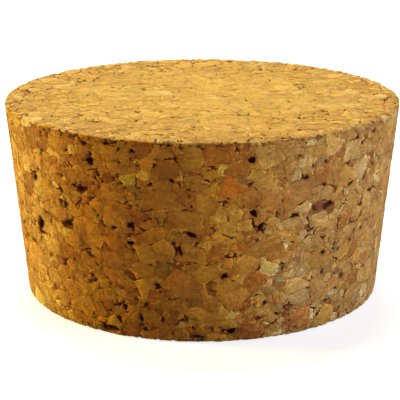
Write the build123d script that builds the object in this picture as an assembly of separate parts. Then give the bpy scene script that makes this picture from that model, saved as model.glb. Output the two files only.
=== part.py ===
from build123d import *
import os
from math import atan2, cos, degrees, radians, sin

# A wide, low stopper of agglomerated cork for the mouth of a jar or crock.
#
# It is one piece. Cork granules are pressed with a binder into a block, and the stopper is
# ground out of the block as a cone frustum, wide face up. The grinding leaves two flat faces,
# a straight taper and slightly softened rims. Where a granule has fallen out, the surface has
# a small angular void, and the rims have a few chips.
#
# Frame: millimetres, +Z up along the taper's axis. The origin is the centre of the narrow
# face, on which the stopper stands. The front is -Y, and a void's place round the side is an
# angle from the front towards +X.

# Driving dimensions
wide_diameter = 76.0
narrow_diameter = 69.0
height = 37.5
wide_edge_radius = 0.5
narrow_edge_radius = 0.4

# Form of a void
void_corners = 5
void_floor_share = 0.45  # floor width over mouth width
corner_jitter = 0.38  # how far a corner stands off the even pentagon, as a share
jitter_turn = 2.4  # radians from one corner's jitter to the next
proud = 1.0  # how far a cutting tool stands out of the surface it cuts

# Voids in the side: angle from the front, share of the way up, width, height, depth, turn
side_voids = [
    (-55, 0.48, 2.7, 2.8, 1.3, 20),
    (-55, 0.72, 1.5, 2.6, 0.9, 10),
    (-41, 0.53, 0.9, 2.4, 0.8, 5),
    (-41, 0.63, 1.0, 1.0, 0.8, 0),
    (-35, 0.73, 1.6, 1.8, 0.8, 30),
    (-31, 0.87, 1.9, 1.6, 1.0, 15),
    (-25, 0.56, 0.9, 0.8, 0.6, 0),
    (-23, 0.16, 1.3, 1.6, 1.0, 40),
    (-20, 0.58, 1.4, 1.4, 1.3, 0),
    (-20, 0.49, 1.4, 1.2, 1.1, 30),
    (-18, 0.11, 0.9, 2.4, 0.8, 10),
    (-13, 0.29, 1.6, 0.9, 0.8, 20),
    (-6, 0.47, 0.9, 2.4, 0.9, 15),
    (-3, 0.55, 2.4, 1.0, 1.2, -25),
    (6, 0.34, 1.6, 1.6, 0.8, 25),
    (8, 0.06, 2.4, 0.9, 1.0, 0),
    (13, 0.91, 0.9, 1.6, 0.8, 10),
    (14, 0.65, 2.0, 1.6, 1.4, 10),
    (16, 0.58, 1.3, 1.0, 1.0, 35),
    (26, 0.62, 2.0, 0.9, 0.9, -25),
    (29, 0.80, 0.9, 1.6, 0.8, 0),
    (37, 0.64, 2.2, 1.7, 0.9, 20),
    (37, 0.40, 1.2, 1.2, 0.9, 45),
    (-28, 0.030, 5.2, 1.4, 1.0, 0),
    (-2, 0.026, 3.4, 1.1, 0.8, 0),
]

# Voids in the wide face: angle from the front, share of the way out, width, length, depth, turn
face_voids = [
    (42, 0.69, 1.7, 1.2, 0.8, 10),
    (52, 0.47, 1.3, 0.9, 0.6, 40),
    (-130, 0.30, 2.2, 0.8, 0.6, 20),
    (-50, 0.53, 1.2, 0.9, 0.5, 0),
    (-168, 0.84, 1.5, 1.1, 0.7, 30),
    (165, 0.44, 1.4, 1.0, 0.6, 15),
]

# Chips in the rims: angle from the front, width along the rim, height, depth
wide_rim_chips = [(-9, 2.0, 1.8, 1.0), (-38, 1.5, 1.0, 0.6), (20, 1.4, 0.9, 0.5)]
narrow_rim_chips = [(24, 1.8, 1.0, 0.6)]

# Worked out from the driving dimensions
wide_radius = wide_diameter / 2
narrow_radius = narrow_diameter / 2
taper = atan2(wide_radius - narrow_radius, height)  # half the cone's angle
up = Vector(0, 0, 1)


def outward(angle):
    """The level direction from the axis at an angle from the front."""
    return Vector(sin(radians(angle)), -cos(radians(angle)), 0)


def tangent_plane(origin, normal, angle):
    """A plane on the surface, its x level round the rim and its z out of the cork."""
    round_the_rim = Vector(cos(radians(angle)), sin(radians(angle)), 0)
    return Plane(origin=origin, x_dir=round_the_rim, z_dir=normal)


def on_side(angle, share_up):
    radius = narrow_radius + share_up * (wide_radius - narrow_radius)
    origin = outward(angle) * radius + up * (share_up * height)
    normal = outward(angle) * cos(taper) - up * sin(taper)
    return tangent_plane(origin, normal, angle)


def on_wide_face(angle, share_out):
    origin = outward(angle) * (share_out * wide_radius) + up * height
    return tangent_plane(origin, up, angle)


def on_rim(angle, radius, level, facing):
    """A plane that cuts across a rim, half way between the side and the face that meet there."""
    origin = outward(angle) * radius + up * level
    return tangent_plane(origin, outward(angle) + up * facing, angle)


def granule_outline(width, length, level, seed):
    """An uneven polygon of a granule's outline, on a level of the local plane."""
    points = []
    for corner in range(void_corners):
        bearing = radians(360 / void_corners * corner)
        reach = 1 + corner_jitter * sin(seed + jitter_turn * corner)
        points.append((width / 2 * reach * cos(bearing), length / 2 * reach * sin(bearing)))
    return Plane.XY.offset(level) * make_face(Polyline(*points, close=True))


def void_tool(width, length, depth, turn, seed):
    """The space that a lost granule leaves, its walls closing in towards its floor."""
    closing = (1 - void_floor_share) / depth  # share of the width lost in each millimetre down
    mouth_share = 1 + closing * proud
    mouth = granule_outline(width * mouth_share, length * mouth_share, proud, seed)
    floor = granule_outline(width * void_floor_share, length * void_floor_share, -depth, seed)
    return Rot(0, 0, turn) * loft([mouth.face(), floor.face()], ruled=True)


def blank():
    """The ground frustum, with both rims softened."""
    cone = Cone(
        bottom_radius=narrow_radius,
        top_radius=wide_radius,
        height=height,
        align=(Align.CENTER, Align.CENTER, Align.MIN),
    )
    rims = cone.edges().filter_by(GeomType.CIRCLE).sort_by(Axis.Z)
    cone = fillet(rims[-1], wide_edge_radius)
    rims = cone.edges().filter_by(GeomType.CIRCLE).sort_by(Axis.Z)
    return fillet(rims[0], narrow_edge_radius)


def voids():
    """A cutting tool for each void and chip, in its place."""
    tools = []
    for seed, (angle, share_up, width, tall, depth, turn) in enumerate(side_voids):
        tools.append(on_side(angle, share_up) * void_tool(width, tall, depth, turn, seed))
    for seed, (angle, share_out, width, length, depth, turn) in enumerate(face_voids):
        tools.append(on_wide_face(angle, share_out) * void_tool(width, length, depth, turn, seed))
    for seed, (angle, width, tall, depth) in enumerate(wide_rim_chips):
        tools.append(on_rim(angle, wide_radius, height, 1) * void_tool(width, tall, depth, 0, seed))
    for seed, (angle, width, tall, depth) in enumerate(narrow_rim_chips):
        tools.append(on_rim(angle, narrow_radius, 0, -1) * void_tool(width, tall, depth, 0, seed))
    return tools


stopper = (blank() - voids()).solid()
print(f"taper {degrees(taper):.2f} degrees a side, volume {stopper.volume / 1000:.1f} cm3")

os.makedirs("parts", exist_ok=True)
export_step(stopper, "parts/stopper.step")
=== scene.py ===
import math
import time

import bmesh
import bpy
import numpy as np
from mathutils import Matrix, Vector


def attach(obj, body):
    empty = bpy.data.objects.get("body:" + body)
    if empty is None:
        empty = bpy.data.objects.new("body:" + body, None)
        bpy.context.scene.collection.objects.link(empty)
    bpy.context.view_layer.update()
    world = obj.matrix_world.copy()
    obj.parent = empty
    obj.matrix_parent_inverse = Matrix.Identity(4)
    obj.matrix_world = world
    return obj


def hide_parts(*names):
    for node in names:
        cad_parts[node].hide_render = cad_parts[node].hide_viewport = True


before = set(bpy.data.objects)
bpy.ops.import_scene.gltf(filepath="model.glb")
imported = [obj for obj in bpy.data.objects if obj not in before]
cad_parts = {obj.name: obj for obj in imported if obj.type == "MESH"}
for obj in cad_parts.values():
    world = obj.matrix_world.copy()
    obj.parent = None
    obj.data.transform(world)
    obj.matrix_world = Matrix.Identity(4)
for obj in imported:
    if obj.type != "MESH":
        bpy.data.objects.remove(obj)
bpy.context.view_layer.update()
startTime = time.time()


def report(stage):
    print(f"{stage} ({time.time() - startTime:.0f} s)")


def linear(hexColour):
    # sRGB hex to the linear colour that nodes and lamps take
    channels = [int(hexColour[i:i + 2], 16) / 255 for i in (1, 3, 5)]
    return [c / 12.92 if c <= 0.04045 else ((c + 0.055) / 1.055) ** 2.4 for c in channels] + [1.0]


def addNode(tree, kind, settings=None, links=None, out=None):
    # links holds what goes into each input: a socket is linked, and anything else is its value
    node = tree.nodes.new(kind)
    for name, value in (settings or {}).items():
        setattr(node, name, value)
    for name, value in (links or {}).items():
        if isinstance(value, bpy.types.NodeSocket):
            tree.links.new(value, node.inputs[name])
        else:
            node.inputs[name].default_value = value
    return node if out is None else node.outputs[out]


# Lengths are in millimetres, as in the CAD, up to where the mesh takes them in metres
stopper = {
    "wideRadius": 38.0,
    "narrowRadius": 34.5,
    "height": 37.5,
    "voxel": 0.20,          # cell of the remesh that the relief is cut into
    "triangles": 190000,    # kept after the flat parts are thinned out
}
growth = (stopper["wideRadius"] - stopper["narrowRadius"]) / stopper["height"]
farAway = 9.0               # farther than any point is from its granule's wall

granules = {
    "seed": 0,
    "largeSize": 3.8,       # what the mill lets through: 2 to 6 mm
    "smallSize": 2.0,
    "crumbSize": 0.95,      # dust and crumbs between the granules
    "flattening": 1.25,     # the block was pressed along its axis, so granules are wider than tall
    "raggedness": 1.25,     # how far the straight cell walls are pulled about
    "brokenUp": 0.42,       # share of large cells that are filled with small granules
    "levelSpread": 0.06,    # granules lie at slightly different levels after grinding
    "tilt": 0.10,           # and each has its own slight slope
    "seamWidth": 0.08,      # half width of a closed seam
    "crackWidth": 0.26,     # and of the widest open one
    "crackDepth": 0.45,
    "pitDepth": 0.70,
    "wideCrumble": 1.00,    # how deep the two rims have crumbled
    "narrowCrumble": 0.25,
}

# Granules that stand out: degrees round from the front, height, half width, half height, lean in
# degrees, narrowing towards the top, colour
chosenGranules = [
    (7.2, 30.0, 1.38, 1.95, 14, 0.80, "#C2762A"),
    (11.3, 30.6, 1.45, 0.65, -22, -0.30, "#8E7048"),
    (-20.0, 30.1, 1.55, 1.10, 10, -0.20, "#D8C474"),
    (-24.0, 23.4, 2.70, 2.40, 0, 0.20, "#C29448"),
    (-11.0, 27.0, 3.00, 1.70, 10, 0.30, "#BC883E"),
    (-4.3, 26.8, 1.30, 0.95, -38, 0.30, "#AC6C32"),
    (-4.6, 23.0, 3.30, 1.90, -6, 0.10, "#C18E48"),
    (26.5, 27.2, 3.00, 2.10, 25, 0.25, "#BA803E"),
    (39.0, 30.0, 1.50, 2.50, -25, 0.10, "#B98340"),
    (20.5, 17.2, 1.80, 2.00, 12, 0.20, "#AE762F"),
    (18.9, 13.8, 1.90, 1.25, -30, -0.30, "#E2C47E"),
    # the near-white fleck here is a painted glint
    (20.9, 12.7, 0.80, 0.20, 38, 0.00, "#FFFBEC"),
    (-8.2, 4.7, 0.85, 1.40, -8, 0.10, "#8F5A2A"),
    (-12.3, 8.8, 1.90, 0.75, -12, 0.00, "#AE7434"),
    (5.9, 34.8, 1.80, 1.15, 0, 0.10, "#A76F2D"),
    (11.6, 35.1, 1.45, 0.85, 0, 0.00, "#A96F2F"),
    (18.2, 34.0, 2.30, 1.30, 28, 0.20, "#D2AC6A"),
    (15.5, 31.2, 2.40, 1.00, -8, 0.10, "#C8A05A"),
    (27.5, 24.0, 2.60, 0.95, 24, 0.20, "#D8B473"),
    (24.2, 21.9, 2.20, 0.90, 18, -0.10, "#D6B272"),
    (8.9, 24.9, 1.70, 0.85, -35, 0.20, "#D2AE66"),
    (11.8, 22.2, 1.50, 1.00, 6, 0.10, "#D8B470"),
    (4.3, 23.7, 1.60, 0.95, 12, 0.00, "#D4AE68"),
    (34.2, 21.6, 2.10, 1.40, 14, 0.10, "#CBA058"),
    (45.0, 33.2, 2.20, 1.90, 0, 0.20, "#D0A964"),
    (-3.0, 17.0, 2.60, 1.60, -10, 0.20, "#C08C40"),
]

# Where granules have fallen out: degrees round from the front, share of the height, reach in mm.
# The walls round these voids have opened and frayed.
frayedPlaces = [
    (-55, 0.48, 2.4), (-55, 0.72, 2.2), (-41, 0.53, 1.8), (-41, 0.63, 1.3), (-35, 0.73, 2.0),
    (-31, 0.87, 2.1), (-25, 0.56, 1.1), (-23, 0.16, 1.6), (-20, 0.58, 1.4), (-20, 0.49, 1.3),
    (-18, 0.11, 1.7), (-13, 0.29, 1.4), (-6, 0.47, 1.7), (-3, 0.55, 1.9), (6, 0.34, 1.7),
    (8, 0.06, 1.6), (13, 0.91, 1.5), (14, 0.65, 1.8), (16, 0.58, 1.4), (26, 0.62, 1.6),
    (29, 0.80, 1.6), (37, 0.64, 1.9), (37, 0.40, 1.5), (-9, 1.0, 2.0), (-38, 1.0, 1.6),
    (-30, 0.03, 2.2), (-26, 0.03, 2.2), (-3, 0.02, 2.0), (0, 0.02, 1.6), (-46, 0.98, 2.2),
    (-44, 0.30, 1.6), (-34, 0.40, 1.5), (22, 0.47, 1.4), (48, 0.52, 1.5), (-9, 0.86, 1.2),
]


def groundSurface(tree, place):
    # For a point of the cork: how deep it lies under the nearest of the three ground faces, the
    # point of that face straight above it, and its distance from the two rims, all in mm
    narrow, height = stopper["narrowRadius"], stopper["height"]
    mm = addNode(tree, "ShaderNodeVectorMath", {"operation": "SCALE"},
                 {0: place, "Scale": 1000.0}, out=0)
    part = addNode(tree, "ShaderNodeSeparateXYZ", links={0: mm})
    flat = addNode(tree, "ShaderNodeVectorMath", {"operation": "MULTIPLY"},
                   {0: mm, 1: (1, 1, 0)}, out=0)
    reach = addNode(tree, "ShaderNodeVectorMath", {"operation": "LENGTH"}, {0: flat}, out="Value")
    nominal = addNode(tree, "ShaderNodeMath", {"operation": "MULTIPLY_ADD"},
                      {0: part.outputs["Z"], 1: growth, 2: narrow}, out=0)
    underSide = addNode(tree, "ShaderNodeMath", {"operation": "SUBTRACT"},
                        {0: nominal, 1: reach}, out=0)
    underTop = addNode(tree, "ShaderNodeMath", {"operation": "SUBTRACT"},
                       {0: height, 1: part.outputs["Z"]}, out=0)
    underEnd = addNode(tree, "ShaderNodeMath", {"operation": "MINIMUM"},
                       {0: underTop, 1: part.outputs["Z"]}, out=0)
    depth = addNode(tree, "ShaderNodeMath", {"operation": "MINIMUM"},
                    {0: underSide, 1: underEnd}, out=0)
    onSide = addNode(tree, "ShaderNodeMath", {"operation": "LESS_THAN"},
                     {0: underSide, 1: underEnd}, out=0)
    onTop = addNode(tree, "ShaderNodeMath", {"operation": "LESS_THAN"},
                    {0: underTop, 1: height / 2}, out=0)
    grow = addNode(tree, "ShaderNodeMath", {"operation": "DIVIDE"}, {0: nominal, 1: reach}, out=0)
    spread = addNode(tree, "ShaderNodeMix", {"data_type": "FLOAT"},
                     {0: onSide, 2: 1.0, 3: grow}, out=0)
    endLevel = addNode(tree, "ShaderNodeMath", {"operation": "MULTIPLY"},
                       {0: onTop, 1: height}, out=0)
    level = addNode(tree, "ShaderNodeMix", {"data_type": "FLOAT"},
                    {0: onSide, 2: endLevel, 3: part.outputs["Z"]}, out=0)
    out = addNode(tree, "ShaderNodeVectorMath", {"operation": "SCALE"},
                  {0: flat, "Scale": spread}, out=0)
    lift = addNode(tree, "ShaderNodeCombineXYZ", links={"Z": level}, out=0)
    facePoint = addNode(tree, "ShaderNodeVectorMath", {"operation": "ADD"},
                        {0: out, 1: lift}, out=0)
    toWideRim = addNode(tree, "ShaderNodeMath", {"operation": "MAXIMUM"},
                        {0: underTop, 1: underSide}, out=0)
    toNarrowRim = addNode(tree, "ShaderNodeMath", {"operation": "MAXIMUM"},
                          {0: part.outputs["Z"], 1: underSide}, out=0)
    return {"depth": depth, "point": facePoint, "onSide": onSide,
            "toWideRim": toWideRim, "toNarrowRim": toNarrowRim, "mm": mm}


def onSideAt(angle, height):
    # the point of the side at an angle round from the front and a height
    return (Matrix.Rotation(math.radians(angle), 3, "Z")
            @ Vector((0, -stopper["narrowRadius"] - growth * height, height)))


def raggedSpace(tree, point, sizes):
    # the space in which granules are plain cells: shifted by the seed, pressed flat, pulled about
    shift = addNode(tree, "ShaderNodeVectorMath", {"operation": "SCALE"},
                    {0: (61.0, 37.0, 83.0), "Scale": sizes["seed"]}, out=0)
    squash = addNode(tree, "ShaderNodeCombineXYZ",
                     links={0: 1.0, 1: 1.0, 2: sizes["flattening"]}, out=0)
    pressed = addNode(tree, "ShaderNodeVectorMath", {"operation": "MULTIPLY_ADD"},
                      {0: point, 1: squash, 2: shift}, out=0)
    ragged = addNode(tree, "ShaderNodeTexNoise", {"noise_dimensions": "3D"},
                     {"Vector": pressed, "Scale": 0.70, "Detail": 3.0, "Roughness": 0.62},
                     out="Color")
    pull = addNode(tree, "ShaderNodeVectorMath", {"operation": "SUBTRACT"},
                   {0: ragged, 1: (0.5, 0.5, 0.5)}, out=0)
    pull = addNode(tree, "ShaderNodeVectorMath", {"operation": "SCALE"},
                   {0: pull, "Scale": sizes["raggedness"]}, out=0)
    pulled = addNode(tree, "ShaderNodeVectorMath", {"operation": "ADD"},
                     {0: pressed, 1: pull}, out=0)
    finer = addNode(tree, "ShaderNodeTexNoise", {"noise_dimensions": "3D"},
                    {"Vector": pressed, "Scale": 1.9, "Detail": 2.0}, out="Color")
    finer = addNode(tree, "ShaderNodeVectorMath", {"operation": "MULTIPLY_ADD"},
                    {0: finer, 1: (0.75, 0.75, 0.75), 2: pulled}, out=0)
    return pull, pulled, finer


def frayedPart(tree, point):
    # from 0 to 1, how near a point is to a place where granules have fallen out
    frayed = 0.0
    for angle, share, reach in frayedPlaces:
        off = addNode(tree, "ShaderNodeVectorMath", {"operation": "DISTANCE"},
                      {0: point, 1: onSideAt(angle, share * stopper["height"])}, out="Value")
        near = addNode(tree, "ShaderNodeMapRange", {}, {0: off, 1: reach, 2: 0.4, 3: 0.0, 4: 1.0},
                       out=0)
        frayed = addNode(tree, "ShaderNodeMath", {"operation": "MAXIMUM"}, {0: frayed, 1: near},
                         out=0)
    return frayed


def chosenOutness(tree, uneven, angle, height, halfWidth, halfHeight, lean, narrowing):
    # 0 in the middle of a chosen granule and 1 at its wall
    turned = (Matrix.Rotation(math.radians(angle), 3, "Z")
              @ Matrix.Rotation(-math.radians(lean), 3, "Y"))
    halfDepth = 6.0
    local = addNode(tree, "ShaderNodeVectorMath", {"operation": "SUBTRACT"},
                    {0: uneven, 1: onSideAt(angle, height)}, out=0)
    across, into, along = [
        addNode(tree, "ShaderNodeVectorMath", {"operation": "DOT_PRODUCT"},
                {0: local, 1: turned.col[i] / half}, out="Value")
        for i, half in enumerate((halfWidth, halfDepth, halfHeight))]
    allowed = addNode(tree, "ShaderNodeMath", {"operation": "MULTIPLY_ADD"},
                      {0: along, 1: -narrowing, 2: 1.0}, out=0)
    allowed = addNode(tree, "ShaderNodeMath", {"operation": "MAXIMUM"},
                      {0: allowed, 1: 0.05}, out=0)
    across = addNode(tree, "ShaderNodeMath", {"operation": "DIVIDE"},
                     {0: across, 1: allowed}, out=0)
    outness = addNode(tree, "ShaderNodeCombineXYZ", {}, {0: across, 1: into, 2: along}, out=0)
    outness = addNode(tree, "ShaderNodeVectorMath", {"operation": "ABSOLUTE"},
                      {0: outness}, out=0)
    part = addNode(tree, "ShaderNodeSeparateXYZ", links={0: outness})
    outness = addNode(tree, "ShaderNodeMath", {"operation": "MAXIMUM"},
                      {0: part.outputs["X"], 1: part.outputs["Z"]}, out=0)
    return addNode(tree, "ShaderNodeMath", {"operation": "MAXIMUM"},
                   {0: outness, 1: part.outputs["Y"]}, out=0)


def granulePattern(tree, point, sizes):
    # Which granule a point belongs to, as a random colour, how far it is from the granule's wall,
    # and the gaps and pits there. The relief and the material both read this, so they agree.
    pull, pulled, finer = raggedSpace(tree, point, sizes)
    tone, middle, wall = {}, {}, {}
    for name in ("large", "small", "crumb"):
        size = sizes[name + "Size"]
        where = finer if name == "crumb" else pulled
        perMm = addNode(tree, "ShaderNodeMath", {"operation": "DIVIDE"}, {0: 1.0, 1: size}, out=0)
        cell = addNode(tree, "ShaderNodeTexVoronoi", {"feature": "F1"},
                       {"Vector": where, "Scale": perMm})
        tone[name], middle[name] = cell.outputs["Color"], cell.outputs["Position"]
        edge = addNode(tree, "ShaderNodeTexVoronoi", {"feature": "DISTANCE_TO_EDGE"},
                       {"Vector": where, "Scale": perMm}, out="Distance")
        wall[name] = addNode(tree, "ShaderNodeMath", {"operation": "MULTIPLY"},
                             {0: edge, 1: size}, out=0)
    pick = addNode(tree, "ShaderNodeSeparateXYZ", links={0: tone["large"]}, out="Z")
    broken = addNode(tree, "ShaderNodeMath", {"operation": "LESS_THAN"},
                     {0: pick, 1: sizes["brokenUp"]}, out=0)
    chosen = addNode(tree, "ShaderNodeMix", {"data_type": "VECTOR"},
                     {0: broken, 4: tone["large"], 5: tone["small"]}, out=1)
    centre = addNode(tree, "ShaderNodeMix", {"data_type": "VECTOR"},
                     {0: broken, 4: middle["large"], 5: middle["small"]}, out=1)
    within = addNode(tree, "ShaderNodeMix", {"data_type": "FLOAT"},
                     {0: broken, 2: farAway, 3: wall["small"]}, out=0)
    seam = addNode(tree, "ShaderNodeMath", {"operation": "MINIMUM"},
                   {0: wall["large"], 1: within}, out=0)
    # the gap between two granules comes and goes along their wall
    gaps = addNode(tree, "ShaderNodeTexNoise", {"noise_dimensions": "3D"},
                   {"Vector": pulled, "Scale": 0.50, "Detail": 4.0, "Roughness": 0.60}, out="Fac")
    frayed = frayedPart(tree, point)
    gaps = addNode(tree, "ShaderNodeMath", {"operation": "MULTIPLY_ADD"},
                   {0: frayed, 1: 0.15, 2: gaps}, out=0)
    # along some walls lies a band of crumbs
    loose = addNode(tree, "ShaderNodeMapRange", {}, {0: gaps, 1: 0.42, 2: 0.34, 3: 0.0, 4: 0.55},
                    out=0)
    crumbled = addNode(tree, "ShaderNodeMath", {"operation": "LESS_THAN"},
                       {0: seam, 1: loose}, out=0)
    chosen = addNode(tree, "ShaderNodeMix", {"data_type": "VECTOR"},
                     {0: crumbled, 4: chosen, 5: tone["crumb"]}, out=1)
    centre = addNode(tree, "ShaderNodeMix", {"data_type": "VECTOR"},
                     {0: crumbled, 4: centre, 5: middle["crumb"]}, out=1)
    # the granule's own slope, from its middle outwards
    away = addNode(tree, "ShaderNodeVectorMath", {"operation": "SUBTRACT"},
                   {0: pulled, 1: centre}, out=0)
    heading = addNode(tree, "ShaderNodeVectorMath", {"operation": "SUBTRACT"},
                      {0: chosen, 1: (0.5, 0.5, 0.5)}, out=0)
    slope = addNode(tree, "ShaderNodeVectorMath", {"operation": "DOT_PRODUCT"},
                    {0: away, 1: heading}, out="Value")
    # a few crumbs have fallen out beside the walls
    crumbPart = addNode(tree, "ShaderNodeSeparateXYZ", links={0: tone["crumb"]})
    hold = addNode(tree, "ShaderNodeMapRange", {}, {0: frayed, 3: 0.978, 4: 0.86}, out=0)
    fallen = addNode(tree, "ShaderNodeMath", {"operation": "GREATER_THAN"},
                     {0: crumbPart.outputs["X"], 1: hold}, out=0)
    nearSeam = addNode(tree, "ShaderNodeMapRange", {}, {0: seam, 1: 0.12, 2: 0.45, 3: 1.0, 4: 0.0},
                       out=0)
    inside = addNode(tree, "ShaderNodeMapRange", {},
                     {0: wall["crumb"], 1: 0.02, 2: 0.16, 3: 0.0, 4: 1.0}, out=0)
    pit = addNode(tree, "ShaderNodeMath", {"operation": "MULTIPLY"}, {0: fallen, 1: nearSeam},
                  out=0)
    pit = addNode(tree, "ShaderNodeMath", {"operation": "MULTIPLY"}, {0: pit, 1: inside}, out=0)
    # the chosen granules lie over the random ones, each with a seam of its own and no pits inside
    uneven = addNode(tree, "ShaderNodeVectorMath", {"operation": "ADD"}, {0: point, 1: pull}, out=0)
    picked = []
    for angle, height, halfWidth, halfHeight, lean, narrowing, hexColour in chosenGranules:
        outness = chosenOutness(tree, uneven, angle, height, halfWidth, halfHeight, lean, narrowing)
        inside = addNode(tree, "ShaderNodeMath", {"operation": "LESS_THAN"},
                         {0: outness, 1: 1.0}, out=0)
        toEdge = addNode(tree, "ShaderNodeMath", {"operation": "SUBTRACT"},
                         {0: outness, 1: 1.0}, out=0)
        toEdge = addNode(tree, "ShaderNodeMath", {"operation": "ABSOLUTE"}, {0: toEdge}, out=0)
        toEdge = addNode(tree, "ShaderNodeMath", {"operation": "MULTIPLY"},
                         {0: toEdge, 1: min(halfWidth, halfHeight)}, out=0)
        seam = addNode(tree, "ShaderNodeMix", {"data_type": "FLOAT"},
                       {0: inside, 2: seam, 3: farAway}, out=0)
        seam = addNode(tree, "ShaderNodeMath", {"operation": "MINIMUM"},
                       {0: seam, 1: toEdge}, out=0)
        pit = addNode(tree, "ShaderNodeMix", {"data_type": "FLOAT"}, {0: inside, 2: pit, 3: 0.0},
                      out=0)
        picked.append((inside, hexColour))
    # how open a seam is, from 0, closed, to 1, a crack
    opened = addNode(tree, "ShaderNodeMapRange", {"interpolation_type": "SMOOTHSTEP"},
                     {0: gaps, 1: 0.528, 2: 0.675, 3: 0.0, 4: 1.0}, out=0)
    width = addNode(tree, "ShaderNodeMapRange", {},
                    {0: opened, 3: sizes["seamWidth"], 4: sizes["crackWidth"]}, out=0)
    shareOut = addNode(tree, "ShaderNodeMath", {"operation": "DIVIDE"}, {0: seam, 1: width}, out=0)
    inGap = addNode(tree, "ShaderNodeMapRange", {"interpolation_type": "SMOOTHSTEP"},
                    {0: shareOut, 1: 0.25, 2: 1.15, 3: 1.0, 4: 0.0}, out=0)
    # beside a crack the cork stands up in a thin torn lip
    lip = addNode(tree, "ShaderNodeMapRange", {"interpolation_type": "SMOOTHSTEP"},
                  {0: shareOut, 1: 2.6, 2: 1.2, 3: 0.0, 4: 1.0}, out=0)
    lipHere = addNode(tree, "ShaderNodeMapRange", {}, {0: opened, 3: 0.25, 4: 1.0}, out=0)
    lip = addNode(tree, "ShaderNodeMath", {"operation": "MULTIPLY"}, {0: lip, 1: lipHere}, out=0)
    return {"tone": chosen, "opened": opened, "inGap": inGap, "lip": lip, "pit": pit,
            "pulled": pulled, "slope": slope, "frayed": frayed, "picked": picked,
            "crumbTone": crumbPart.outputs["Y"]}


def corkRelief():
    # Ground cork is nearly flush: each granule at its own level, open seams, pits, crumbled rims.
    # Everything is cut inwards, because grinding leaves nothing proud of the ground faces.
    groundOff = 0.06  # takes the highest granules down to the faces
    tree = bpy.data.node_groups.new("corkRelief", "GeometryNodeTree")
    tree.interface.new_socket("Geometry", in_out="INPUT", socket_type="NodeSocketGeometry")
    for name in granules:
        kind = "NodeSocketInt" if name == "seed" else "NodeSocketFloat"
        tree.interface.new_socket(name, in_out="INPUT", socket_type=kind)
    tree.interface.new_socket("material", in_out="INPUT", socket_type="NodeSocketMaterial")
    tree.interface.new_socket("Geometry", in_out="OUTPUT", socket_type="NodeSocketGeometry")
    given = addNode(tree, "NodeGroupInput")
    sizes = {name: given.outputs[name] for name in granules}
    place = addNode(tree, "GeometryNodeInputPosition", out=0)
    surface = groundSurface(tree, place)
    pattern = granulePattern(tree, surface["point"], sizes)
    tonePart = addNode(tree, "ShaderNodeSeparateXYZ", links={0: pattern["tone"]})
    level = addNode(tree, "ShaderNodeMath", {"operation": "SUBTRACT"},
                    {0: tonePart.outputs["Y"], 1: 0.5}, out=0)
    level = addNode(tree, "ShaderNodeMath", {"operation": "MULTIPLY"},
                    {0: level, 1: sizes["levelSpread"]}, out=0)
    sloping = addNode(tree, "ShaderNodeMath", {"operation": "MULTIPLY"},
                      {0: pattern["slope"], 1: sizes["tilt"]}, out=0)
    sloping = addNode(tree, "ShaderNodeClamp", {}, {0: sloping, 1: -0.06, 2: 0.06}, out=0)
    level = addNode(tree, "ShaderNodeMath", {"operation": "ADD"}, {0: level, 1: sloping}, out=0)
    share = addNode(tree, "ShaderNodeMapRange", {}, {0: pattern["opened"], 3: 0.15, 4: 1.0}, out=0)
    seam = addNode(tree, "ShaderNodeMath", {"operation": "MULTIPLY"},
                   {0: pattern["inGap"], 1: share}, out=0)
    seam = addNode(tree, "ShaderNodeMath", {"operation": "MULTIPLY"},
                   {0: seam, 1: sizes["crackDepth"]}, out=0)
    cut = addNode(tree, "ShaderNodeMath", {"operation": "MULTIPLY_ADD"},
                  {0: pattern["lip"], 1: -0.05, 2: seam}, out=0)
    cut = addNode(tree, "ShaderNodeMath", {"operation": "MULTIPLY_ADD"},
                  {0: pattern["pit"], 1: sizes["pitDepth"], 2: cut}, out=0)
    crumble = addNode(tree, "ShaderNodeTexNoise", {},
                      {"Vector": surface["point"], "Scale": 0.85, "Detail": 4.0, "Roughness": 0.65},
                      out="Fac")
    crumble = addNode(tree, "ShaderNodeMapRange", {},
                      {0: crumble, 1: 0.46, 2: 0.70, 3: 0.0, 4: 1.0}, out=0)
    for toRim, depth in (("toWideRim", "wideCrumble"), ("toNarrowRim", "narrowCrumble")):
        rim = addNode(tree, "ShaderNodeMapRange", {},
                      {0: surface[toRim], 1: 0.2, 2: 1.6, 3: sizes[depth], 4: 0.0}, out=0)
        cut = addNode(tree, "ShaderNodeMath", {"operation": "MULTIPLY_ADD"},
                      {0: crumble, 1: rim, 2: cut}, out=0)
    inward = addNode(tree, "ShaderNodeMath", {"operation": "SUBTRACT"}, {0: level, 1: cut}, out=0)
    inward = addNode(tree, "ShaderNodeMath", {"operation": "SUBTRACT"},
                     {0: inward, 1: groundOff}, out=0)
    inward = addNode(tree, "ShaderNodeMath", {"operation": "MINIMUM"}, {0: inward, 1: 0.0}, out=0)
    inMetres = addNode(tree, "ShaderNodeMath", {"operation": "MULTIPLY"},
                       {0: inward, 1: 0.001}, out=0)
    normal = addNode(tree, "GeometryNodeInputNormal", out=0)
    offset = addNode(tree, "ShaderNodeVectorMath", {"operation": "SCALE"},
                     {0: normal, "Scale": inMetres}, out=0)
    moved = addNode(tree, "GeometryNodeSetPosition", {},
                    {"Geometry": given.outputs["Geometry"], "Offset": offset}, out=0)
    smooth = addNode(tree, "GeometryNodeSetShadeSmooth", {}, {"Geometry": moved}, out=0)
    real = addNode(tree, "GeometryNodeRealizeInstances", {}, {"Geometry": smooth}, out=0)
    finished = addNode(tree, "GeometryNodeSetMaterial", {},
                       {"Geometry": real, "Material": given.outputs["material"]}, out=0)
    addNode(tree, "NodeGroupOutput", {}, {"Geometry": finished})
    return tree


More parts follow.
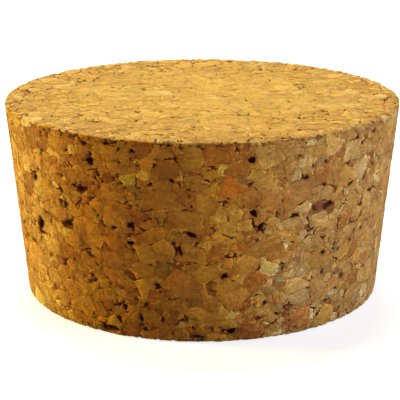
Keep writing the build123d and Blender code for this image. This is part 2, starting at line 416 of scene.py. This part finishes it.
corkLook = {
    # sRGB of each kind of granule, and the share of granules that have it
    "granuleColours": [
        ("#C2964D", 0.15), ("#B38044", 0.12), ("#CEA864", 0.13), ("#BC8E4A", 0.15),
        ("#AA6E2E", 0.09), ("#C09240", 0.12), ("#DABC82", 0.07), ("#B98C50", 0.07),
        ("#985A2A", 0.04), ("#C99F56", 0.05), ("#A28A5C", 0.01)],
    "flakeColour": "#DFC284",   # fresh cork where a granule has torn and flaked
    "layerColour": "#8C5522",   # lenticels and growth layers, redder than the cork
    "zoneColour": "#A66E28",    # browner bark side of the sheet that some zones came from
    # painted shade with a painted amber lamp tint over one part of the side, most in its middle:
    # degrees from the front, the cosines between which it fades in, tint
    "paintedAmberShade": [(-14, 0.72, 0.97, (0.93, 0.73, 0.22)), (-24, 0.90, 0.99, (0.81, 0.71, 0.54))],
    "dustColour": "#D3AF57",    # what sanding spreads over the two end faces
    "dust": 0.62,
    "dustAtRim": 0.42,
    "seamColour": "#6C360F",
    # near black in open cracks: painted shade
    "crackShadeColour": "#58200E",
    # near black in pits and voids: painted shade over their reddish brown
    "pitShadeColour": "#501C0F",
    "roughness": 0.88,
    "specular": 0.25,           # open pores and dust leave hardly any gloss
}


def granuleColour(tree, pattern):
    # every granule in one of the kinds' browns
    tonePart = addNode(tree, "ShaderNodeSeparateXYZ", links={0: pattern["tone"]})
    ramp = addNode(tree, "ShaderNodeValToRGB", {}, {0: tonePart.outputs["X"]})
    ramp.color_ramp.interpolation = "CONSTANT"
    position = 0.0
    for i, (colour, share) in enumerate(corkLook["granuleColours"]):
        stops = ramp.color_ramp.elements
        stop = stops[i] if i < 2 else stops.new(position)
        stop.position = position
        stop.color = linear(colour)
        position += share
    # every granule is a little lighter or darker than its kind
    value = addNode(tree, "ShaderNodeMapRange", {}, {0: tonePart.outputs["Y"], 3: 0.82, 4: 1.18},
                    out=0)
    colour = addNode(tree, "ShaderNodeVectorMath", {"operation": "SCALE"},
                     {0: ramp.outputs["Color"], "Scale": value}, out=0)
    # and a little redder or yellower
    hue = addNode(tree, "ShaderNodeMapRange", {"data_type": "FLOAT_VECTOR"},
                  {6: tonePart.outputs["Z"], 7: (0.3, 0.3, 0.3), 9: (1.0, 1.045, 1.10),
                   10: (1.0, 0.88, 0.84)}, out=1)
    colour = addNode(tree, "ShaderNodeVectorMath", {"operation": "MULTIPLY"},
                     {0: colour, 1: hue}, out=0)
    for inside, hexColour in pattern["picked"]:
        colour = addNode(tree, "ShaderNodeMix", {"data_type": "RGBA"},
                         {0: inside, 6: colour, 7: linear(hexColour)}, out=2)
    # painted shade: lighter on one side of each granule and darker on the other, as its slope meets
    # the light
    paintedSlopeShade = addNode(tree, "ShaderNodeMath", {"operation": "MULTIPLY_ADD"},
                    {0: pattern["slope"], 1: 0.22, 2: 1.0}, out=0)
    return addNode(tree, "ShaderNodeVectorMath", {"operation": "SCALE"},
                   {0: colour, "Scale": paintedSlopeShade}, out=0)


def texturedCork(tree, colour, pattern, surface):
    # what is wider or finer than a granule: zones of browner cork, some 8 mm across
    zones = addNode(tree, "ShaderNodeTexNoise", {},
                    {"Vector": pattern["pulled"], "Scale": 0.13, "Detail": 3.0}, out="Fac")
    zones = addNode(tree, "ShaderNodeMapRange", {}, {0: zones, 1: 0.45, 2: 0.68, 3: 0.0, 4: 0.60},
                    out=0)
    colour = addNode(tree, "ShaderNodeMix", {"data_type": "RGBA"},
                     {0: zones, 6: colour, 7: linear(corkLook["zoneColour"])}, out=2)
    # flakes of fresh cork about 1 mm across
    flakes = addNode(tree, "ShaderNodeTexNoise", {},
                     {"Vector": pattern["pulled"], "Scale": 0.95, "Detail": 4.0,
                      "Roughness": 0.68, "Distortion": 0.6}, out="Fac")
    flaked = addNode(tree, "ShaderNodeMapRange", {}, {0: flakes, 1: 0.53, 2: 0.68, 3: 0.0, 4: 0.45},
                     out=0)
    colour = addNode(tree, "ShaderNodeMix", {"data_type": "RGBA"},
                     {0: flaked, 6: colour, 7: linear(corkLook["flakeColour"])}, out=2)
    darker = addNode(tree, "ShaderNodeMapRange", {}, {0: flakes, 1: 0.48, 2: 0.32, 3: 1.0, 4: 0.78},
                     out=0)
    colour = addNode(tree, "ShaderNodeVectorMath", {"operation": "SCALE"},
                     {0: colour, "Scale": darker}, out=0)
    # growth layers: streaks about 0.6 mm apart that run their own way in each granule
    turn = addNode(tree, "ShaderNodeVectorMath", {"operation": "SCALE"},
                   {0: pattern["tone"], "Scale": 2 * math.pi}, out=0)
    turned = addNode(tree, "ShaderNodeVectorRotate", {"rotation_type": "EULER_XYZ"},
                     {"Vector": pattern["pulled"], "Rotation": turn}, out=0)
    stretched = addNode(tree, "ShaderNodeVectorMath", {"operation": "MULTIPLY"},
                        {0: turned, 1: (0.25, 0.55, 1.9)}, out=0)
    layers = addNode(tree, "ShaderNodeTexNoise", {},
                     {"Vector": stretched, "Scale": 1.0, "Detail": 5.0, "Roughness": 0.68,
                      "Distortion": 0.8}, out="Fac")
    layerShade = addNode(tree, "ShaderNodeMapRange", {},
                         {0: layers, 1: 0.30, 2: 0.70, 3: 0.72, 4: 1.26}, out=0)
    colour = addNode(tree, "ShaderNodeVectorMath", {"operation": "SCALE"},
                     {0: colour, "Scale": layerShade}, out=0)
    lenticel = addNode(tree, "ShaderNodeMapRange", {},
                       {0: layers, 1: 0.41, 2: 0.33, 3: 0.0, 4: 0.65}, out=0)
    colour = addNode(tree, "ShaderNodeMix", {"data_type": "RGBA"},
                     {0: lenticel, 6: colour, 7: linear(corkLook["layerColour"])}, out=2)
    # cells of about 0.1 mm are too fine to show, so this grain is drawn at 0.3 mm
    grain = addNode(tree, "ShaderNodeTexNoise", {},
                    {"Vector": surface["mm"], "Scale": 3.0, "Detail": 3.0, "Roughness": 0.65},
                    out="Fac")
    grainShade = addNode(tree, "ShaderNodeMapRange", {},
                         {0: grain, 1: 0.3, 2: 0.7, 3: 0.86, 4: 1.13}, out=0)
    colour = addNode(tree, "ShaderNodeVectorMath", {"operation": "SCALE"},
                     {0: colour, "Scale": grainShade}, out=0)
    return colour, {"flakes": flakes, "layers": layers, "grain": grain}


def paintEdgeHighlights(tree, colour, pattern, surface, onEnd):
    # painted highlights: the torn lip beside a crack is lightened, and so is a thin band of the
    # end faces along the wide rim
    paintedHighlight = addNode(tree, "ShaderNodeMath", {"operation": "MULTIPLY_ADD"},
                      {0: pattern["lip"], 1: 0.55, 2: 1.0}, out=0)
    rimHighlight = addNode(tree, "ShaderNodeMapRange", {},
                   {0: surface["toWideRim"], 1: 0.3, 2: 0.9, 3: 0.14, 4: 0.0}, out=0)
    rimHighlight = addNode(tree, "ShaderNodeMath", {"operation": "MULTIPLY"}, {0: rimHighlight, 1: onEnd}, out=0)
    paintedHighlight = addNode(tree, "ShaderNodeMath", {"operation": "ADD"}, {0: paintedHighlight, 1: rimHighlight}, out=0)
    return addNode(tree, "ShaderNodeVectorMath", {"operation": "SCALE"},
                   {0: colour, "Scale": paintedHighlight}, out=0)


def paintAmberShadeOnSide(tree, colour, surface):
    # painted shade and amber light: darker and yellower over one part of the side face
    outward = addNode(tree, "ShaderNodeVectorMath", {"operation": "MULTIPLY"},
                      {0: surface["point"], 1: (1, 1, 0)}, out=0)
    outward = addNode(tree, "ShaderNodeVectorMath", {"operation": "NORMALIZE"}, {0: outward}, out=0)
    for angle, faint, full, tint in corkLook["paintedAmberShade"]:
        way = Matrix.Rotation(math.radians(angle), 3, "Z") @ Vector((0, -1, 0))
        paintedAmberShade = addNode(tree, "ShaderNodeVectorMath", {"operation": "DOT_PRODUCT"},
                          {0: outward, 1: way}, out="Value")
        paintedAmberShade = addNode(tree, "ShaderNodeMapRange", {"interpolation_type": "SMOOTHSTEP"},
                          {0: paintedAmberShade, 1: faint, 2: full, 3: 0.0, 4: 1.0}, out=0)
        paintedAmberShade = addNode(tree, "ShaderNodeMath", {"operation": "MULTIPLY"},
                          {0: paintedAmberShade, 1: surface["onSide"]}, out=0)
        amberShadedColour = addNode(tree, "ShaderNodeVectorMath", {"operation": "MULTIPLY"},
                         {0: colour, 1: tint}, out=0)
        colour = addNode(tree, "ShaderNodeMix", {"data_type": "RGBA"},
                         {0: paintedAmberShade, 6: colour, 7: amberShadedColour}, out=2)
    return colour


def dustyEnds(tree, colour, flakes, onEnd, ring):
    # sanding dust on the end faces hides most of the difference between granules, less at the rim
    dust = addNode(tree, "ShaderNodeMapRange", {},
                   {0: ring, 3: corkLook["dust"], 4: corkLook["dustAtRim"]}, out=0)
    dusty = addNode(tree, "ShaderNodeMath", {"operation": "MULTIPLY"}, {0: onEnd, 1: dust}, out=0)
    colour = addNode(tree, "ShaderNodeMix", {"data_type": "RGBA"},
                     {0: dusty, 6: colour, 7: linear(corkLook["dustColour"])}, out=2)
    # with the flakes just showing through it, as painted relief shade: lighter where the bump
    # raises them, darker between
    flakeReliefShade = addNode(tree, "ShaderNodeMapRange", {},
                      {0: flakes, 1: 0.36, 2: 0.64, 3: 0.86, 4: 1.12}, out=0)
    flakeReliefShade = addNode(tree, "ShaderNodeMix", {"data_type": "FLOAT"},
                      {0: onEnd, 2: 1.0, 3: flakeReliefShade}, out=0)
    return addNode(tree, "ShaderNodeVectorMath", {"operation": "SCALE"},
                   {0: colour, "Scale": flakeReliefShade}, out=0)


def darkSeams(tree, colour, pattern, onEnd, ring):
    # dark joints, brown and faint where closed; where open, near black as painted shade in the
    # crack;
    # filled with dust on the ends
    gapShade = addNode(tree, "ShaderNodeMapRange", {},
                       {0: pattern["opened"], 1: 0.0, 2: 0.6, 3: 0.42, 4: 1.0}, out=0)
    endShade = addNode(tree, "ShaderNodeMapRange", {}, {0: ring, 3: 0.45, 4: 1.5}, out=0)
    endShade = addNode(tree, "ShaderNodeMix", {"data_type": "FLOAT"},
                       {0: onEnd, 2: 1.0, 3: endShade}, out=0)
    seamDark = addNode(tree, "ShaderNodeMath", {"operation": "MULTIPLY"},
                       {0: pattern["inGap"], 1: gapShade}, out=0)
    seamDark = addNode(tree, "ShaderNodeMath", {"operation": "MULTIPLY", "use_clamp": True},
                       {0: seamDark, 1: endShade}, out=0)
    seamTone = addNode(tree, "ShaderNodeMix", {"data_type": "RGBA"},
                       {0: pattern["opened"], 6: linear(corkLook["seamColour"]),
                        7: linear(corkLook["crackShadeColour"])}, out=2)
    return addNode(tree, "ShaderNodeMix", {"data_type": "RGBA"},
                   {0: seamDark, 6: colour, 7: seamTone}, out=2)


def darkPits(tree, colour, pattern, surface, fine, rim):
    # reddish brown, bared bark in patches round the voids
    bared = addNode(tree, "ShaderNodeMath", {"operation": "MULTIPLY"},
                    {0: pattern["frayed"], 1: fine["layers"]}, out=0)
    bared = addNode(tree, "ShaderNodeMapRange", {}, {0: bared, 1: 0.18, 2: 0.40, 3: 0.0, 4: 0.70},
                    out=0)
    colour = addNode(tree, "ShaderNodeMix", {"data_type": "RGBA"},
                     {0: bared, 6: colour, 7: linear(corkLook["layerColour"])}, out=2)
    # painted shade in the pits and voids, darker the deeper under the ground faces: brown at their
    # edge and near black inside; the crumbled rims aren't pits
    atRim = addNode(tree, "ShaderNodeMapRange", {}, {0: rim, 1: 0.3, 2: 1.7, 3: -0.60, 4: 0.0},
                    out=0)
    pitShadeDepth = addNode(tree, "ShaderNodeMath", {"operation": "MULTIPLY_ADD"},
                   {0: fine["flakes"], 1: 0.6, 2: surface["depth"]}, out=0)
    pitShadeDepth = addNode(tree, "ShaderNodeMath", {"operation": "ADD"}, {0: pitShadeDepth, 1: atRim}, out=0)
    paintedPitShade = addNode(tree, "ShaderNodeMapRange", {"interpolation_type": "SMOOTHSTEP"},
                   {0: pitShadeDepth, 1: 0.42, 2: 0.95, 3: 0.0, 4: 1.0}, out=0)
    pitShade = addNode(tree, "ShaderNodeMapRange", {}, {0: pattern["crumbTone"], 3: 0.45, 4: 1.0},
                       out=0)
    pitDark = addNode(tree, "ShaderNodeMath", {"operation": "MULTIPLY"},
                      {0: pattern["pit"], 1: pitShade}, out=0)
    paintedPitShade = addNode(tree, "ShaderNodeMath", {"operation": "MAXIMUM"}, {0: paintedPitShade, 1: pitDark}, out=0)
    pitShadeTone = addNode(tree, "ShaderNodeMix", {"data_type": "RGBA"},
                      {0: paintedPitShade, 6: linear(corkLook["seamColour"]),
                       7: linear(corkLook["pitShadeColour"])}, out=2)
    pitShadeCover = addNode(tree, "ShaderNodeMapRange", {}, {0: paintedPitShade, 1: 0.0, 2: 0.5, 3: 0.0, 4: 1.0},
                      out=0)
    return addNode(tree, "ShaderNodeMix", {"data_type": "RGBA"},
                   {0: pitShadeCover, 6: colour, 7: pitShadeTone}, out=2)


def fineBump(tree, pattern, fine):
    # what is finer than the mesh, summed in millimetres
    groove = addNode(tree, "ShaderNodeMath", {"operation": "MULTIPLY"},
                     {0: pattern["inGap"], 1: -0.08}, out=0)
    layerHeight = addNode(tree, "ShaderNodeMath", {"operation": "MULTIPLY_ADD"},
                          {0: fine["layers"], 1: 0.34, 2: groove}, out=0)
    flakeHeight = addNode(tree, "ShaderNodeMath", {"operation": "MULTIPLY_ADD"},
                          {0: fine["flakes"], 1: 0.55, 2: layerHeight}, out=0)
    grainHeight = addNode(tree, "ShaderNodeMath", {"operation": "MULTIPLY_ADD"},
                          {0: fine["grain"], 1: 0.08, 2: flakeHeight}, out=0)
    height = addNode(tree, "ShaderNodeMath", {"operation": "MULTIPLY"},
                     {0: grainHeight, 1: 0.001}, out=0)
    return addNode(tree, "ShaderNodeBump", {},
                   {"Height": height, "Strength": 1.0, "Distance": 1.0}, out=0)


def corkMaterial():
    # Agglomerated cork, ground: matte, every granule in its own brown, with painted shade in the
    # gaps and pits
    material = bpy.data.materials.new("agglomeratedCorkGround")
    material.use_nodes = True
    tree = material.node_tree
    tree.nodes.clear()
    place = addNode(tree, "ShaderNodeTexCoord", out="Object")
    surface = groundSurface(tree, place)
    pattern = granulePattern(tree, surface["point"], granules)
    onEnd = addNode(tree, "ShaderNodeMath", {"operation": "SUBTRACT"},
                    {0: 1.0, 1: surface["onSide"]}, out=0)
    rim = addNode(tree, "ShaderNodeMath", {"operation": "MINIMUM"},
                  {0: surface["toWideRim"], 1: surface["toNarrowRim"]}, out=0)
    ring = addNode(tree, "ShaderNodeMapRange", {"interpolation_type": "SMOOTHSTEP"},
                   {0: rim, 1: 22.0, 2: 2.0, 3: 0.0, 4: 1.0}, out=0)
    colour = granuleColour(tree, pattern)
    colour, fine = texturedCork(tree, colour, pattern, surface)
    # painted highlights on the torn lips and along the wide rim
    colour = paintEdgeHighlights(tree, colour, pattern, surface, onEnd)
    # painted amber light and shade on one part of the side
    colour = paintAmberShadeOnSide(tree, colour, surface)
    colour = dustyEnds(tree, colour, fine["flakes"], onEnd, ring)
    # dark joints, with painted shade in the open cracks
    colour = darkSeams(tree, colour, pattern, onEnd, ring)
    # painted shade in the pits and voids
    colour = darkPits(tree, colour, pattern, surface, fine, rim)
    bump = fineBump(tree, pattern, fine)
    shader = addNode(tree, "ShaderNodeBsdfPrincipled", {},
                     {"Base Color": colour, "Roughness": corkLook["roughness"],
                      "Specular IOR Level": corkLook["specular"], "Normal": bump}, out=0)
    addNode(tree, "ShaderNodeOutputMaterial", {}, {"Surface": shader})
    return material


def plainCopy(source, name, voxel):
    # a merged copy of the CAD body, remeshed into even cells that can take the relief
    mesh = source.data.copy()
    shape = bmesh.new()
    shape.from_mesh(mesh)
    bmesh.ops.remove_doubles(shape, verts=shape.verts, dist=1e-6)
    shape.to_mesh(mesh)
    shape.free()
    piece = bpy.data.objects.new(name, mesh)
    bpy.context.scene.collection.objects.link(piece)
    remesh = piece.modifiers.new("evenCells", "REMESH")
    remesh.mode = "VOXEL"
    remesh.voxel_size = voxel
    remesh.use_smooth_shade = True
    return piece


def bakeMap(mesh):
    # the side unrolled as two half turns, and the two round faces, at one scale in one square
    wide, narrow, height = stopper["wideRadius"], stopper["narrowRadius"], stopper["height"]
    count = len(mesh.vertices)
    points = np.zeros(count * 3, np.float32)
    mesh.vertices.foreach_get("co", points)
    points = points.reshape(-1, 3).astype(float) * 1000
    corners = np.zeros(len(mesh.loops), np.int32)
    mesh.loops.foreach_get("vertex_index", corners)
    starts = np.zeros(len(mesh.polygons), np.int32)
    sizes = np.zeros(len(mesh.polygons), np.int32)
    mesh.polygons.foreach_get("loop_start", starts)
    mesh.polygons.foreach_get("loop_total", sizes)
    faceOf = np.repeat(np.arange(len(starts)), sizes)
    centre = np.zeros((len(starts), 3))
    np.add.at(centre, faceOf, points[corners])
    centre /= sizes[:, None]
    nominal = narrow + (wide - narrow) * centre[:, 2] / height
    underSide = nominal - np.hypot(centre[:, 0], centre[:, 1])
    underTop, underBottom = height - centre[:, 2], centre[:, 2]
    kind = np.argmin(np.stack([underSide, underTop, underBottom]), axis=0)
    faceAngle = np.arctan2(centre[:, 0], -centre[:, 1])
    back = np.abs(faceAngle) > math.pi / 2
    middle = np.where(back, math.pi, 0.0)
    at = points[corners]
    angle = np.arctan2(at[:, 0], -at[:, 1]) - middle[faceOf]
    angle = (angle + math.pi) % (2 * math.pi) - math.pi
    reach = narrow + (wide - narrow) * at[:, 2] / height
    gap = 1.2
    strip = height + gap
    side = 2 * strip + 2 * wide + 2 * gap
    which = [kind[faceOf] == 0, kind[faceOf] == 1]
    sideV = gap + at[:, 2] + np.where(back[faceOf], strip, 0.0)
    topV = 2 * strip + wide + gap + at[:, 1]
    u = np.select(which, [side / 2 + angle * reach, wide + gap + at[:, 0]],
                  2 * wide + narrow + 2 * gap + at[:, 0])
    v = np.select(which, [sideV, topV], 2 * strip + narrow + gap - at[:, 1])
    layer = mesh.uv_layers.new(name="OFBake")
    layer.data.foreach_set("uv", np.stack([u, v], 1).astype(np.float32).ravel() / side)


view = {"place": (0.0, -0.2618, 0.0940), "look": (-0.0015, 0.95857, -0.28485), "lens": 124.2}
cameraData = bpy.data.cameras.new("camera")
cameraData.sensor_width = 36.0
cameraData.lens = view["lens"]
cameraData.clip_start, cameraData.clip_end = 0.01, 20.0
camera = bpy.data.objects.new("camera", cameraData)
bpy.context.scene.collection.objects.link(camera)
camera.location = view["place"]
camera.rotation_mode = "QUATERNION"
camera.rotation_quaternion = Vector(view["look"]).to_track_quat("-Z", "Y")
bpy.context.scene.camera = camera

material = corkMaterial()
tree = corkRelief()
blank = plainCopy(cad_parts["stopper"], "corkBlank",
                  stopper["voxel"] / 1000 * (1))
relief = blank.modifiers.new("relief", "NODES")
relief.node_group = tree
for item in tree.interface.items_tree:
    if item.in_out == "INPUT" and item.name in granules:
        relief[item.identifier] = granules[item.name]
    if item.in_out == "INPUT" and item.name == "material":
        relief[item.identifier] = material
depsgraph = bpy.context.evaluated_depsgraph_get()
full = sum(len(p.vertices) - 2 for p in blank.evaluated_get(depsgraph).data.polygons)
report(f"relief cut into {full} triangles")
thin = blank.modifiers.new("thin", "DECIMATE")
thin.ratio = min(1.0, stopper["triangles"] / full)
thin.use_collapse_triangulate = True
depsgraph = bpy.context.evaluated_depsgraph_get()
mesh = bpy.data.meshes.new_from_object(blank.evaluated_get(depsgraph))
report(f"thinned to {len(mesh.polygons)}")
bpy.data.objects.remove(blank)
mesh.name = "stopper_cork"
cork = bpy.data.objects.new("stopper_cork", mesh)
bpy.context.scene.collection.objects.link(cork)
if not mesh.materials:
    mesh.materials.append(material)
bakeMap(mesh)
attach(cork, "root")
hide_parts("stopper")
report("cork made")

half = 3.0  # metres
floorMesh = bpy.data.meshes.new("floor")
floorMesh.from_pydata([(-half, -half, 0), (half, -half, 0), (half, half, 0), (-half, half, 0)], [],
                      [(0, 1, 2, 3)])
floor = bpy.data.objects.new("floor", floorMesh)
bpy.context.scene.collection.objects.link(floor)

studio = {
    "paper": "#CACCD2",
    "paperGlow": 0.68,      # seen directly and in mirrors only, so that it doesn't light the cork
    "glowFrom": 0.2,        # metres out, where the glow starts to rise
    "evenFrom": 0.9,        # and where the paper is full white
    "ambient": 0.068,
}


def seenDirectly(tree):
    # 1 on rays from the camera and on what gloss and glass show, else 0
    rays = addNode(tree, "ShaderNodeLightPath")
    seen = addNode(tree, "ShaderNodeMath", {"operation": "MAXIMUM"},
                   {0: rays.outputs["Is Camera Ray"], 1: rays.outputs["Is Glossy Ray"]}, out=0)
    return addNode(tree, "ShaderNodeMath", {"operation": "MAXIMUM"},
                   {0: seen, 1: rays.outputs["Is Transmission Ray"]}, out=0)


floorPaint = bpy.data.materials.new("paperSweepWhite")  # matte background paper, evenly white
floorPaint.use_nodes = True
tree = floorPaint.node_tree
tree.nodes.clear()
paper = addNode(tree, "ShaderNodeBsdfDiffuse", {}, {"Color": linear(studio["paper"])}, out=0)
fromMiddle = addNode(tree, "ShaderNodeVectorMath", {"operation": "LENGTH"},
                     {0: addNode(tree, "ShaderNodeTexCoord", out="Object")}, out="Value")
paperWhite = addNode(tree, "ShaderNodeMapRange", {},
                     {0: fromMiddle, 1: studio["glowFrom"], 2: studio["evenFrom"],
                      3: studio["paperGlow"], 4: 1.0}, out=0)
glowing = addNode(tree, "ShaderNodeMath", {"operation": "MULTIPLY"},
                  {0: seenDirectly(tree), 1: paperWhite}, out=0)
glow = addNode(tree, "ShaderNodeEmission", {}, {"Color": (1, 1, 1, 1), "Strength": glowing},
               out=0)
both = addNode(tree, "ShaderNodeAddShader", {}, {0: paper, 1: glow}, out=0)
addNode(tree, "ShaderNodeOutputMaterial", {}, {"Surface": both})
floorMesh.materials.append(floorPaint)

world = bpy.data.worlds.new("studio")
bpy.context.scene.world = world
world.use_nodes = True
tree = world.node_tree
tree.nodes.clear()
strength = addNode(tree, "ShaderNodeMapRange", {},
                   {0: seenDirectly(tree), 3: studio["ambient"], 4: 1.0}, out=0)
sky = addNode(tree, "ShaderNodeBackground", {}, {"Color": (1, 1, 1, 1), "Strength": strength},
              out=0)
addNode(tree, "ShaderNodeOutputWorld", {}, {"Surface": sky})

lamps = {
    "above": {"from": (-0.10, 0.42, 1.00), "size": 0.60, "watts": 11.4, "colour": "#FFF3E0"},
    "left": {"from": (-0.95, 0.20, 0.30), "size": 0.45, "watts": 17.6, "colour": "#FFE658"},
    "right": {"from": (0.90, -0.38, 0.35), "size": 0.60, "watts": 8.9, "colour": "#F3F7FF"},
}
for name, lamp in lamps.items():
    data = bpy.data.lights.new(name, "AREA")
    data.shape = "DISK"
    data.size = lamp["size"]
    data.energy = lamp["watts"]
    data.color = linear(lamp["colour"])[:3]
    light = bpy.data.objects.new(name, data)
    bpy.context.scene.collection.objects.link(light)
    light.location = lamp["from"]
    light.rotation_mode = "QUATERNION"
    towards = Vector((0, 0, stopper["height"] / 2000)) - Vector(lamp["from"])
    light.rotation_quaternion = towards.to_track_quat("-Z", "Y")
bpy.context.scene.view_settings.view_transform = "Standard"
report("stage lit")
